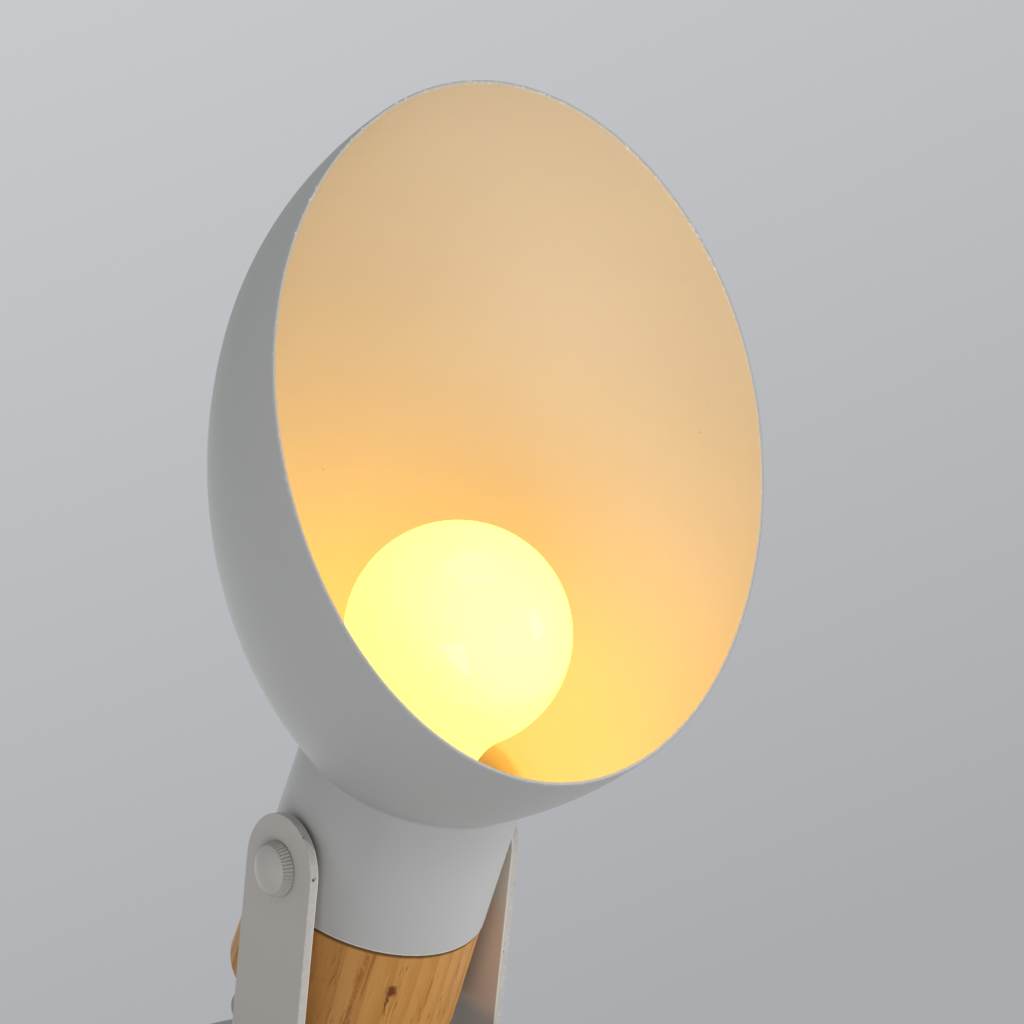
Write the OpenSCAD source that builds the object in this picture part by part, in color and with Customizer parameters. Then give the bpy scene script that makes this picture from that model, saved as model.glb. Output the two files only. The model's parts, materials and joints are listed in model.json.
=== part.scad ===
// Wall lamp with a slant-cut shade that tilts in a U bracket.
// Wall plane: y = 0. The lamp stands out towards -Y, +Z is up,
// and the origin is the centre of the canopy's back.

/* [Pose] */
// Downward tilt of the head at rest, degrees
head_tilt = 18; // [0:1:60]

/* [Canopy] */
// Diameter of the round canopy
canopy_d = 100; // [90:1:120]
// Depth of the canopy from the wall
canopy_h = 24; // [22:0.5:30]
// Sheet thickness of the canopy
canopy_wall = 1.2; // [0.8:0.1:2]
// Distance between the two ball nuts
stud_pitch = 85; // [80:1:86]
// Diameter of a ball nut
ball_d = 7.8; // [7:0.1:8.5]

/* [Bracket] */
// Distance from the wall to the tilt axis
axis_out = 77.5; // [76:0.5:90]
// Width of the strip
strip_w = 22; // [18:0.5:24]
// Thickness of the strip
strip_t = 2; // [1.5:0.1:2.5]
// Clear distance between the arms
arm_gap = 49.2; // [49.2:0.1:50.4]

/* [Shade] */
// Largest diameter of the shade
shade_d = 119.4; // [110:0.5:124]
// Height of the widest place above the tilt axis
shade_mid = 101; // [95:1:105]
// Radius of the flank between the neck and the widest place
flank_r = 102.5; // [98:0.5:108]
// Radius of the hood beyond the widest place
hood_r = 76.8; // [70:0.5:85]
// Slant of the cut, measured from a square cut
cut_angle = 51.6; // [40:0.5:56]
// Height at which the cut crosses the shade's axis
cut_z = 103; // [98:1:108]
// Sheet thickness of the shade
shade_wall = 0.7; // [0.6:0.1:1.2]
// Neck diameter where it meets the shade
neck_top_d = 46.4; // [46:0.1:47]
// Neck diameter at its lower rim
neck_low_d = 47.6; // [47.2:0.1:47.8]
// Height of the neck's top above the tilt axis
neck_top = 22.2; // [20:0.1:24]
// Depth of the neck's lower rim below the tilt axis
neck_low = 8; // [7:0.1:9]

/* [Wooden cup] */
// Diameter at the back end
cup_d = 48.6; // [47.6:0.1:48.6]
// Depth of the back end below the tilt axis
cup_back = 33; // [31:0.5:35]
// Bore for the bulb holder
cup_bore = 35.8; // [35.6:0.1:36.4]

/* [Thumb nut] */
// Diameter over the knurl at the foot
nut_d = 11.4; // [10.4:0.1:12]
// Height of the knurled band
nut_band = 2.1; // [2:0.1:2.4]
// Number of ridges
ridges = 40; // [24:2:48]
// Height of the smooth dome above the band
nut_dome = 1.6; // [1.6:0.1:2]
// Diameter of the pivot screw
pivot_d = 5; // [4:0.5:5]

/* [Bulb] */
// Diameter of the globe
globe_d = 45; // [40:1:46]
// Height of the globe's centre above the tilt axis
globe_z = 52.5; // [50:0.5:55]
// Diameter of the throat that the globe narrows to
throat_d = 22.4; // [21:0.2:23]
// Radius of the hollow curve between throat and globe
throat_curve = 21; // [18:1:21]

/* [Hidden] */
$fn = 96;
eps = 0.01;

// Colours as in the photograph
shade_white = [0.78, 0.79, 0.80];
bracket_white = [0.74, 0.73, 0.71];
pale_wood = [0.80, 0.62, 0.40];
steel = [0.62, 0.63, 0.64];
dark_nickel = [0.36, 0.38, 0.34];
brass = [0.78, 0.62, 0.32];
nylon = [0.90, 0.90, 0.86];
holder_white = [0.88, 0.87, 0.84];
ceramic = [0.93, 0.92, 0.88];
warm_glass = [1.0, 0.93, 0.66];

// Sizes shared by several pieces
nipple_r = 5;
nipple_bore = 3.75;
running = 0.06;
washer_t = 0.5;
air = 0.05;
base_low = canopy_h + washer_t + air;
base_high = base_low + strip_t;
arm_x = arm_gap / 2;
pivot_r = pivot_d / 2;
strap_t = 2;
strap_w = 20;
strap_len = 94;
strap_rise = 5;
slot_y = 24;
slot_len = 16;
slot_w = 4.4;
cable_r = 6.5;
stud_r = 2;
ball_up = 5.2;
holder_r = 17.5;
holder_wall = 1.9;
holder_seam = -11;
holder_rim = 18;
holder_shoulder = 4;
cup_floor = -27;
core_r = holder_r - holder_wall;
screw_head = cup_bore / 2 + 0.4;
tip_z = -3.4;
neck_slope = (neck_low_d - neck_top_d) / 2 / (neck_top + neck_low);

// Frame of the wall: local +Z points out of the wall, local +Y is up
module from_wall(out = 0) {
  rotate([90, 0, 0]) translate([0, 0, out]) children();
}

// Frame of the head: local +Z runs along the shade, local -Y looks out of its cut
module head() {
  translate([0, -axis_out, 0]) rotate([90 + head_tilt, 0, 0]) children();
}

// Straight slot with round ends, along local Y
module slot(w, len, h) {
  for (side = [-1, 1]) translate([0, side * (len - w) / 2, 0]) cylinder(d = w, h = h);
  translate([-w / 2, (w - len) / 2, 0]) cube([w, len - w, h]);
}

// Hollow washer or sleeve
module ring(r, hole, h) {
  difference() {
    cylinder(r = r, h = h);
    translate([0, 0, -1]) cylinder(r = hole, h = h + 2);
  }
}

// Thin hexagon nut with chamfered corners
module hex_nut(flats, hole, h) {
  difference() {
    intersection() {
      cylinder(r = flats / sqrt(3), h = h, $fn = 6);
      rotate_extrude() polygon([
        [0, 0], [flats / 2, 0], [flats / sqrt(3), h * 0.25],
        [flats / sqrt(3), h * 0.75], [flats / 2, h], [0, h]
      ]);
    }
    translate([0, 0, -1]) cylinder(r = hole, h = h + 2);
  }
}

// Slotted or cross-cut pan head, its seat at z = 0 and its top at z = h
module pan_head(r, h, slot = 0.9) {
  difference() {
    rotate_extrude() intersection() {
      square([r, h]);
      union() {
        square([r, h * 0.4]);
        translate([0, h - r * 2]) circle(r * 2);
      }
    }
    translate([-r - 1, -slot / 2, h * 0.55]) cube([2 * r + 2, slot, h]);
  }
}

// Canopy

// Half outline of a cup with a rounded front edge
module cup_outline(r, h, corner) {
  square([r - corner, h]);
  square([r, h - corner]);
  translate([r - corner, h - corner]) circle(corner);
}

module canopy() {
  corner = 2.5;
  color(shade_white) from_wall() difference() {
    rotate_extrude() intersection() {
      square([canopy_d, canopy_h]);
      difference() {
        cup_outline(canopy_d / 2, canopy_h, corner);
        translate([0, -1]) cup_outline(canopy_d / 2 - canopy_wall, canopy_h + 1 - canopy_wall,
                                       corner - canopy_wall);
      }
    }
    translate([0, 0, canopy_h / 2]) cylinder(r = nipple_r + 0.1, h = canopy_h);
    for (side = [-1, 1])
      translate([0, side * stud_pitch / 2, canopy_h / 2]) cylinder(r = stud_r + 0.2, h = canopy_h);
  }
}

// Crossbar pressed so that its ends stand off the wall, with an ear for the terminal block
module wall_strap() {
  flat = 34;
  bend = 3.5;
  end = strap_len / 2;
  color(steel) from_wall() difference() {
    union() {
      intersection() {
        rotate([90, 0, 90]) translate([0, 0, -strap_w / 2]) linear_extrude(strap_w) polygon([
          [-end, strap_rise], [-flat - bend, strap_rise], [-flat, 0],
          [flat, 0], [flat + bend, strap_rise], [end, strap_rise],
          [end, strap_rise + strap_t], [flat + bend - 1, strap_rise + strap_t], [flat - 1, strap_t],
          [1 - flat, strap_t], [1 - flat - bend, strap_rise + strap_t], [-end, strap_rise + strap_t]
        ]);
        linear_extrude(20) {
          for (side = [-1, 1]) translate([0, side * (end - strap_w / 2)]) circle(strap_w / 2);
          square([strap_w, strap_len - strap_w], center = true);
        }
      }
      translate([0, -8, 0]) cube([39, 16, strap_t]);
    }
    translate([0, 0, -1]) cylinder(r = cable_r, h = 10);
    for (side = [-1, 1]) {
      translate([0, side * stud_pitch / 2, -1]) cylinder(r = stud_r + air, h = 20);
      translate([0, side * slot_y, -1]) slot(slot_w, slot_len, 10);
    }
    translate([0, 11.5, -1]) cylinder(r = 1.5, h = 10);
    translate([25, 0, -1]) cylinder(r = 1.5, h = 10);
  }
}

// Two studs, heads behind the crossbar's ends
module strap_studs() {
  head_h = 2.4;
  color(steel) from_wall() for (side = [-1, 1]) translate([0, side * stud_pitch / 2, 0]) {
    translate([0, 0, strap_rise]) cylinder(r = stud_r, h = canopy_h + 6.2 - strap_rise);
    translate([0, 0, strap_rise]) mirror([0, 0, 1]) pan_head(3.6, head_h);
  }
}

// Round nuts with a short collar and a blind hole
module ball_nuts() {
  color(dark_nickel) from_wall(canopy_h) for (side = [-1, 1]) translate([0, side * stud_pitch / 2, 0])
    difference() {
      union() {
        translate([0, 0, ball_up]) sphere(d = ball_d);
        cylinder(r = 2.9, h = ball_up - 2);
      }
      translate([0, 0, -1]) cylinder(r = stud_r, h = 7.5);
    }
}

// Swivel of the bracket

module swivel_nipple() {
  color(brass) from_wall(canopy_h - 8) ring(nipple_r, nipple_bore, 15);
}

module inner_locknut() {
  color(brass) from_wall(canopy_h - canopy_wall - 3.8) hex_nut(14, nipple_r, 3);
}

// Star washer that keeps the nipple from turning in the canopy
module tooth_washer() {
  teeth = 12;
  h = 0.8;
  color(steel) from_wall(canopy_h - canopy_wall - h) {
    ring(7.4, nipple_r, h);
    for (i = [0 : teeth - 1]) rotate([0, 0, i * 360 / teeth])
      translate([7.2, -0.8, 0]) cube([1.8, 1.6, h]);
  }
}

module swivel_washers() {
  color(nylon) from_wall() {
    translate([0, 0, canopy_h]) ring(10.5, nipple_r, washer_t);
    translate([0, 0, base_high + air]) ring(9.5, nipple_r, washer_t);
  }
}

// Low round nut with two spanner flats and a rounded edge
module swivel_nut() {
  r = 8.6;
  h = 3;
  color(bracket_white) from_wall(base_high + air + washer_t) difference() {
    rotate_extrude() cup_outline(r, h, 1);
    translate([0, 0, -1]) cylinder(r = nipple_r, h = h + 2);
    for (side = [-1, 1]) translate([side * (r + 6.6), 0, h + 0.4]) cube([15, 20, h], center = true);
  }
}

// Plastic bush that keeps the wires off the nipple's edge
module nipple_bush() {
  end = canopy_h + 7;
  color(nylon) from_wall() difference() {
    union() {
      translate([0, 0, end - 6]) cylinder(r = nipple_bore, h = 6.5);
      translate([0, 0, end]) rotate_extrude() cup_outline(nipple_r - 0.1, 1.4, 0.7);
    }
    translate([0, 0, end - 10]) cylinder(r = 2.9, h = 20);
  }
}

// Terminals behind the canopy

block_x = 25;
block_len = 26;
block_w = 15;
block_low = 7;
block_h = 12;
wire_z = 3.6;
insert_r = 2.3;
pole_pitch = 8;

// Distance of a pole's two screws from the block's middle; the middle pole's
// screws stand further apart, clear of the screw that holds the block
function screw_y(pole) = pole == 0 ? 4.4 : 4;

module terminal_block() {
  tower_r = 3.1;
  color(nylon) from_wall(strap_t) translate([block_x, 0, 0]) difference() {
    union() {
      translate([-block_len / 2, -block_w / 2, 0]) cube([block_len, block_w, block_low]);
      for (pole = [-1, 0, 1], side = [-1, 1])
        translate([pole * pole_pitch, side * screw_y(pole), block_low])
          cylinder(r = tower_r, h = block_h - block_low);
    }
    for (pole = [-1, 0, 1]) {
      translate([pole * pole_pitch, 10, wire_z]) rotate([90, 0, 0]) cylinder(r = insert_r, h = 20);
      for (side = [-1, 1])
        translate([pole * pole_pitch, side * screw_y(pole), wire_z]) cylinder(r = 1.7, h = 20);
    }
    translate([0, 0, -1]) cylinder(r = 1.5, h = 20);
  }
}

// Brass tubes that grip the wires
module terminal_inserts() {
  len = 13;
  color(brass) from_wall(strap_t) for (pole = [-1, 0, 1])
    translate([block_x + pole * pole_pitch, 0, wire_z]) difference() {
      translate([0, len / 2, 0]) rotate([90, 0, 0]) ring(insert_r - air, 1.5, len);
      for (side = [-1, 1]) translate([0, side * screw_y(pole), 0]) cylinder(r = 1.3, h = 5);
      if (pole == 0) translate([0, 0, -5]) cylinder(r = 1.5, h = 10);
    }
}

module terminal_screws() {
  color(steel) from_wall(strap_t) for (pole = [-1, 0, 1], side = [-1, 1])
    translate([block_x + pole * pole_pitch, side * screw_y(pole), wire_z + 1]) difference() {
      union() {
        cylinder(r = 1.3, h = 5);
        translate([0, 0, 2.2]) cylinder(r = 1.7, h = 3.4);
      }
      translate([-3, -0.3, 4.8]) cube([6, 0.6, 2]);
    }
}

module block_screw() {
  color(steel) from_wall() translate([block_x, 0, 0]) {
    translate([0, 0, 0.2]) cylinder(r = 1.5, h = 8.8);
    translate([0, 0, strap_t + 7]) pan_head(1.5, 1.2, 0.5);
  }
}

module earth_screw() {
  color(brass) from_wall() translate([0, 11.5, 0]) {
    translate([0, 0, 0.2]) cylinder(r = 1.5, h = 6);
    translate([0, 0, strap_t]) ring(3.6, 1.5, 0.8);
    translate([0, 0, 4.2]) pan_head(3, 2);
  }
}

// Bracket

// Half of the bracket's front view, as a filled shape with rounded lower corners
module u_outline(half_w, bottom, corner) {
  top = axis_out + strip_w;
  translate([-half_w, bottom + corner]) square([2 * half_w, top - bottom - corner]);
  translate([corner - half_w, bottom]) square([2 * (half_w - corner), corner + 1]);
  for (side = [-1, 1]) translate([side * (half_w - corner), bottom + corner]) circle(corner);
}

module u_bracket() {
  inner_bend = 3;
  color(bracket_white) from_wall() difference() {
    intersection() {
      rotate([90, 0, 0]) translate([0, 0, -strip_w / 2]) linear_extrude(strip_w) difference() {
        u_outline(arm_x + strip_t, base_low, inner_bend + strip_t);
        u_outline(arm_x, base_high, inner_bend);
      }
      rotate([90, 0, 90]) translate([0, 0, -100]) linear_extrude(200) {
        translate([0, axis_out]) circle(strip_w / 2);
        translate([-strip_w / 2, 0]) square([strip_w, axis_out]);
      }
    }
    translate([0, 0, canopy_h / 2]) cylinder(r = nipple_r + running, h = canopy_h);
    translate([-100, 0, axis_out]) rotate([0, 90, 0]) cylinder(r = pivot_r + running, h = 200);
  }
}

// Shade

// Half section of the shade and its neck, moved inwards by inset
module shade_outline(inset) {
  half = shade_d / 2;
  intersection() {
    union() {
      polygon([
        [0, -neck_low - eps], [neck_low_d / 2 - inset, -neck_low - eps],
        [neck_top_d / 2 - inset, neck_top], [0, neck_top]
      ]);
      intersection() {
        translate([half - flank_r, shade_mid]) circle(flank_r - inset, $fn = 256);
        translate([0, neck_top - eps]) square([half, shade_mid - neck_top + 2 * eps]);
      }
      intersection() {
        translate([half - hood_r, shade_mid]) circle(hood_r - inset, $fn = 256);
        translate([0, shade_mid]) square([half, hood_r]);
      }
    }
    translate([0, -neck_low - inset]) square([half, 300]);
  }
}

module shade() {
  color(shade_white) head() difference() {
    rotate([0, 0, 90]) rotate_extrude() difference() {
      shade_outline(0);
      shade_outline(shade_wall);
    }
    translate([0, 0, cut_z]) rotate([cut_angle, 0, 0]) translate([-100, -200, 0]) cube([200, 400, 200]);
    translate([-100, 0, 0]) rotate([0, 90, 0]) cylinder(r = pivot_r, h = 200);
  }
}

// Wooden cup, with a spigot inside the neck
module wood_cup() {
  shoulder = -neck_low - 0.3;
  top_r = neck_low_d / 2 - 0.25;
  spigot_top = 8;
  edge = 1.5;
  color(pale_wood) head() difference() {
    rotate_extrude() {
      polygon([
        [0, -cup_back], [cup_d / 2 - edge, -cup_back], [cup_d / 2, -cup_back + edge],
        [top_r, shoulder - 0.4], [top_r - 0.4, shoulder],
        [neck_low_d / 2 - shade_wall - 0.05, shoulder],
        [neck_low_d / 2 - shade_wall - 0.05 - neck_slope * (spigot_top - shoulder), spigot_top],
        [0, spigot_top]
      ]);
      translate([cup_d / 2 - edge - 0.05, -cup_back + edge]) circle(edge);
    }
    translate([0, 0, cup_floor]) cylinder(d = cup_bore, h = 100);
    translate([0, 0, -50]) cylinder(r = nipple_r, h = 100);
    translate([0, 0, -cup_back - 1]) cylinder(r = 11, h = 3.5);
    for (side = [-1, 1]) scale([side, 1, 1]) rotate([0, 90, 0]) {
      cylinder(r = pivot_r, h = 60);
      translate([0, 0, screw_head]) cylinder(r1 = 2 * pivot_r - 0.3, r2 = pivot_r, h = pivot_r - 0.3);
      translate([0, 0, 10]) cylinder(r = 2 * pivot_r - 0.3, h = screw_head - 10);
    }
  }
}

// Pivot

// Flat-headed screws, put in from inside the cup
module pivot_screws() {
  tip = arm_x + strip_t + 2.5;
  color(steel) head() for (side = [-1, 1]) scale([side, 1, 1]) rotate([0, 90, 0]) difference() {
    union() {
      translate([0, 0, screw_head]) cylinder(r = pivot_r, h = tip - screw_head);
      translate([0, 0, screw_head]) cylinder(r1 = 2 * pivot_r - 0.3, r2 = pivot_r, h = pivot_r - 0.3);
    }
    translate([-0.6, -10, screw_head - 1]) cube([1.2, 20, 2]);
  }
}

module pivot_washers() {
  color(nylon) head() for (side = [-1, 1]) scale([side, 1, 1]) rotate([0, 90, 0])
    translate([0, 0, neck_low_d / 2]) ring(6, pivot_r, arm_x - neck_low_d / 2 - 0.1);
}

// Low knurled nut, its foot at z = 0. Two spheres shape it above a short
// upright foot: one for the flank, up to the band's top, and one for the dome.
module thumb_nut() {
  foot = nut_d / 2;
  foot_h = 0.5;
  groove = 0.4;
  face = foot - 0.7;
  flank_z = (nut_band + foot_h) / 2 - (foot * foot - face * face) / 2 / (nut_band - foot_h);
  flank_r = sqrt(foot * foot + pow(foot_h - flank_z, 2));
  dome_r = (face * face + nut_dome * nut_dome) / 2 / nut_dome;
  difference() {
    intersection() {
      rotate_extrude() intersection() {
        square([foot, nut_band + nut_dome]);
        translate([0, flank_z]) circle(flank_r);
        translate([0, nut_band + nut_dome - dome_r]) circle(dome_r);
      }
      translate([0, 0, -1]) linear_extrude(nut_band + nut_dome + 2) polygon([
        for (i = [0 : 2 * ridges - 1])
          (foot + (i % 2 == 0 ? 0.05 : -groove)) * [cos(i * 180 / ridges), sin(i * 180 / ridges)]
      ]);
    }
    translate([0, 0, -1]) cylinder(r = pivot_r + running, h = nut_band + 1.5);
  }
}

module left_thumb_nut() {
  color(bracket_white) head() rotate([0, -90, 0]) translate([0, 0, arm_x + strip_t + 0.1]) thumb_nut();
}

module right_thumb_nut() {
  color(bracket_white) head() rotate([0, 90, 0]) translate([0, 0, arm_x + strip_t + 0.1]) thumb_nut();
}

// Bulb holder

module holder_cap() {
  depth = holder_seam - cup_floor;
  floor_t = 2;
  collar = 6;
  lip = 2;
  corner = 4;
  wall = holder_wall + 1.6;
  color(holder_white) head() difference() {
    union() {
      translate([0, 0, holder_seam]) mirror([0, 0, 1]) rotate_extrude() difference() {
        cup_outline(holder_r, depth, corner);
        translate([0, -1]) cup_outline(holder_r - wall, depth + 1 - floor_t, corner - 1);
      }
      translate([0, 0, holder_seam - 1]) ring(core_r - air, core_r - 1.6, lip + 1);
      translate([0, 0, cup_floor]) cylinder(r = 7.5, h = collar);
    }
    translate([0, 0, cup_floor - 1]) cylinder(r = nipple_r + air, h = 20);
  }
}

module holder_skirt() {
  bead = 0.35;
  color(holder_white) head() difference() {
    union() {
      translate([0, 0, holder_seam]) cylinder(r = holder_r, h = holder_rim - holder_seam);
      translate([0, 0, holder_rim - 2.4]) cylinder(r = holder_r + bead, h = 1.6);
    }
    translate([0, 0, holder_seam - 1]) cylinder(r = core_r, h = holder_shoulder - holder_seam + 1);
    translate([0, 0, 0]) cylinder(r = 14.2, h = 60);
  }
}

// Insulating core that carries the contacts, clamped between cap and skirt
module holder_core() {
  low = holder_seam + 2;
  floor_z = tip_z - 1.2;
  color(ceramic) head() difference() {
    translate([0, 0, low]) cylinder(r = core_r - air, h = holder_shoulder - low);
    translate([0, 0, floor_z]) cylinder(r = 13.75, h = 20);
    for (side = [-1, 1]) translate([side * 9.5, 0, low - 1]) cylinder(r = 1.5, h = 4);
  }
}

// Brass sleeve that takes the bulb's screw cap
module socket_sleeve() {
  color(brass) head() translate([0, 0, tip_z - 1.2 + 1.4]) ring(13.75, 13.25, 21);
}

// Sprung tongue under the bulb
module centre_contact() {
  floor_z = tip_z - 1.2;
  color(brass) head() rotate([90, 0, 0]) translate([0, 0, -2.5]) linear_extrude(5) polygon([
    [-9, floor_z], [9, floor_z], [9, floor_z + 0.5], [5, floor_z + 0.5],
    [2.5, tip_z], [-2.5, tip_z], [-2.5, tip_z - 0.5], [2, tip_z - 0.5],
    [4.4, floor_z + 0.5], [-9, floor_z + 0.5]
  ]);
}

module holder_screws() {
  low = holder_seam + 2;
  color(steel) head() for (side = [-1, 1]) translate([side * 9.5, 0, low]) {
    cylinder(r = 1.5, h = 3);
    mirror([0, 0, 1]) pan_head(2.7, 1.8, 0.7);
  }
}

// Pieces that hold the bulb holder in the cup

module head_nipple() {
  color(brass) head() translate([0, 0, -cup_back - 3.5]) ring(nipple_r, nipple_bore, cup_back + 3.5 - 21);
}

module head_locknut() {
  color(brass) head() translate([0, 0, -cup_back + 0.1]) hex_nut(14, nipple_r, 2.4);
}

// Strain relief screwed on the nipple's end
module cord_gland() {
  r = 6.4;
  low = -cup_back - 8;
  color(holder_white) head() difference() {
    translate([0, 0, -cup_back]) mirror([0, 0, 1]) rotate_extrude() cup_outline(r, 8, 1.6);
    translate([0, 0, low - 1]) cylinder(r = 3.3, h = 20);
    translate([0, 0, low + 4.5]) cylinder(r = nipple_r, h = 20);
    translate([0, 0, low + 2.4]) rotate([90, 0, 0]) cylinder(r = 1.3, h = 10);
  }
}

module gland_screw() {
  low = -cup_back - 8;
  color(steel) head() translate([0, -3.2, low + 2.4]) rotate([90, 0, 0]) difference() {
    cylinder(r = 1.3, h = 3);
    translate([-3, -0.25, 2.3]) cube([6, 0.5, 2]);
  }
}

// Bulb

glass_low = 21.5;
throat_r = throat_d / 2;
glass_wall = 1;

// Half section of the globe and its throat, moved inwards by inset.
// The hollow curve's centre stands outside, at its radius from both.
module globe_outline(inset) {
  reach = globe_d / 2 + throat_curve;
  bend_r = throat_r + throat_curve;
  bend_drop = sqrt(reach * reach - bend_r * bend_r);
  bend_z = globe_z - bend_drop;
  touch = (globe_d / 2 - inset) / reach;
  intersection() {
    union() {
      translate([0, globe_z]) circle(globe_d / 2 - inset);
      square([throat_r - inset, bend_z]);
      difference() {
        polygon([
          [0, bend_z - eps], [bend_r, bend_z - eps], [bend_r, bend_z],
          [bend_r * touch, globe_z - bend_drop * touch], [0, globe_z - bend_drop * touch]
        ]);
        translate([bend_r, bend_z]) circle(throat_curve + inset, $fn = 256);
      }
    }
    translate([0, glass_low - inset]) square([globe_d, 200]);
  }
}

module bulb_glass() {
  color(warm_glass) head() rotate_extrude() difference() {
    globe_outline(0);
    globe_outline(glass_wall);
  }
}

// Screw cap with rolled thread, its top turned in under the glass
module bulb_cap() {
  pitch = 3.6;
  turns = 4;
  lip = 1;
  color(steel) head() difference() {
    union() {
      cylinder(r = 12.4, h = glass_low);
      for (i = [0 : turns - 1])
        translate([0, 0, 4.4 + i * pitch]) rotate_extrude() translate([12.1, 0]) circle(1);
    }
    translate([0, 0, 1]) cylinder(r = 11.6, h = glass_low - 1 - lip);
    translate([0, 0, -1]) cylinder(r = 9, h = 4);
    translate([0, 0, 1]) cylinder(r = throat_r - glass_wall - 0.4, h = glass_low);
  }
}

module bulb_insulator() {
  color([0.12, 0.12, 0.13]) head() difference() {
    translate([0, 0, tip_z + 0.9]) cylinder(r1 = 5, r2 = 9, h = 0.1 - tip_z);
    translate([0, 0, tip_z]) cylinder(r = 2, h = 3);
  }
}

module bulb_contact() {
  color(steel) head() {
    translate([0, 0, tip_z]) cylinder(r = 4.4, h = 0.9);
    translate([0, 0, tip_z]) cylinder(r = 2, h = 3);
  }
}

// Lit board inside the globe
module led_board() {
  chips = 8;
  board_t = 1.6;
  color([0.97, 0.95, 0.85]) head() translate([0, 0, glass_low]) {
    cylinder(r = throat_r - glass_wall - air, h = board_t);
    for (i = [0 : chips - 1]) rotate([0, 0, i * 360 / chips])
      translate([6.2, -1.4, board_t]) cube([2.8, 2.8, 0.8]);
  }
}

canopy();
wall_strap();
strap_studs();
ball_nuts();
swivel_nipple();
inner_locknut();
tooth_washer();
swivel_washers();
swivel_nut();
nipple_bush();
terminal_block();
terminal_inserts();
terminal_screws();
block_screw();
earth_screw();
u_bracket();
shade();
wood_cup();
pivot_screws();
pivot_washers();
holder_cap();
holder_skirt();
holder_core();
socket_sleeve();
centre_contact();
holder_screws();
head_nipple();
head_locknut();
cord_gland();
gland_screw();
bulb_glass();
bulb_cap();
bulb_insulator();
bulb_contact();
led_board();
left_thumb_nut();
right_thumb_nut();
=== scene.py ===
# %% [markdown]
# Wall lamp with a slant-cut shade
#
# The lamp is a round canopy on the wall, a U bracket that swivels on it, and a head that tilts
# between the bracket's arms. The head is a turned wooden cup with a thin spun shade over a globe
# bulb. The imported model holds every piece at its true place. This lesson looks at the pieces one
# by one, models again those that need finer shapes, and gives each surface its finish.

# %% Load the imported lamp
import json
import math
import bmesh
import bpy
from mathutils import Matrix, Vector


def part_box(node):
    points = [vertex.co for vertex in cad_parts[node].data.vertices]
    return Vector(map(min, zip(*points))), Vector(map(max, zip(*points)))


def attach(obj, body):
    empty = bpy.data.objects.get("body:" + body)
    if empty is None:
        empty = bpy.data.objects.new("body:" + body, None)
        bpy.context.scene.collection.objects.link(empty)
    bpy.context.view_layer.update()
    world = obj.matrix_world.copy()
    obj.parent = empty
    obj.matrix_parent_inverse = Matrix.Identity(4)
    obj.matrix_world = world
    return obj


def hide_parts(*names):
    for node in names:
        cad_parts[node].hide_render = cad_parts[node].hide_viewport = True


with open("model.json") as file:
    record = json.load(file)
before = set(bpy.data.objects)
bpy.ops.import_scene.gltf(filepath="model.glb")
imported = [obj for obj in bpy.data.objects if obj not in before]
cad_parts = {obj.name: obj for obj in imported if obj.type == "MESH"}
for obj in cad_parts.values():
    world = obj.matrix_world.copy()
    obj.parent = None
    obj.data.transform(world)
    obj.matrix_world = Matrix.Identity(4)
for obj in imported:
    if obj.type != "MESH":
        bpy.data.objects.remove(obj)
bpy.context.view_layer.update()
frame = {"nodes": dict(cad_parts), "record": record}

# %% [markdown]
# The picture was taken from below and to the left of the lamp, with a long lens. Fitting the
# lamp's outlines to the picture gives the camera's place and three directions: the picture's
# right, its upward side, and the way back to the camera. They are the columns of its matrix.

# %% Camera
camera_place = Vector((-0.3404, -0.2533, -0.4254))
picture_right = Vector((0.76743, -0.10177, -0.63300))
picture_up = Vector((0.04141, -0.97739, 0.20734))
towards_camera = picture_right.cross(picture_up).normalized()
camera_data = bpy.data.cameras.new("camera")
camera_data.lens = 97.75
camera = bpy.data.objects.new("camera", camera_data)
turn_matrix = Matrix((picture_right, picture_up, towards_camera)).transposed()
camera.matrix_world = Matrix.Translation(camera_place) @ turn_matrix.to_4x4()
bpy.context.scene.collection.objects.link(camera)
bpy.context.scene.camera = camera
print("camera looks along", [round(v, 3) for v in -towards_camera])

# %% [markdown]
# A material here is a sum of patterns. Written as Python, `1 - wear * 0.3` is easier to read than
# a page of linked nodes, so one small class stands for a node's output and turns each operator
# into a Math node. Everything else goes through one method that makes a node of any type.

# %% Shader sums
class Wave:
    """What one node gives: a number, a colour or a vector that varies over a surface."""

    def __init__(self, patterns, socket):
        self.patterns = patterns
        self.socket = socket

    def __add__(self, other):
        return self.patterns.math("ADD", self, other)

    def __sub__(self, other):
        return self.patterns.math("SUBTRACT", self, other)

    def __mul__(self, other):
        return self.patterns.math("MULTIPLY", self, other)

    def __truediv__(self, other):
        return self.patterns.math("DIVIDE", self, other)

    def __rsub__(self, other):
        return self.patterns.math("SUBTRACT", other, self)

    __radd__ = __add__
    __rmul__ = __mul__


print("sums of patterns read as Python")

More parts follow.
